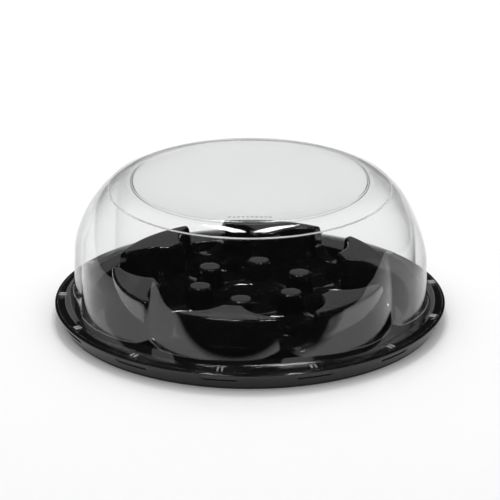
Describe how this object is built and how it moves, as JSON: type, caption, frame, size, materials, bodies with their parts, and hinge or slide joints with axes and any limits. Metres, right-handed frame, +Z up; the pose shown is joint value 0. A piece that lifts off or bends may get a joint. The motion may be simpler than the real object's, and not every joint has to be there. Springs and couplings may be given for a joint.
{
  "type": "humidity dome tray",
  "caption": "Round black tray with a lift-out cell insert, under a clear domed lid with bulging petals.",
  "frame": {"origin": "centre of the flat face that the base rests on", "axes": "+Z up along the tray's axis, -Y to the front"},
  "size_m": [0.3048, 0.3048, 0.1132],
  "materials": {
    "black_base": "gloss",
    "black_insert": "gloss",
    "clear_dome": "gloss"
  },
  "bodies": {
    "base": {"base_tray": "black_base"},
    "insert": {"cell_insert": "black_insert"},
    "lid": {"dome": "clear_dome"}
  },
  "joints": [
    {"name": "dome_lift", "type": "slide", "parent": "base", "child": "lid", "axis": [0, 0, 1], "range_m": [0, 0.15]},
    {"name": "insert_lift", "type": "slide", "parent": "base", "child": "insert", "axis": [0, 0, 1], "range_m": [0, 0.04]}
  ]
}
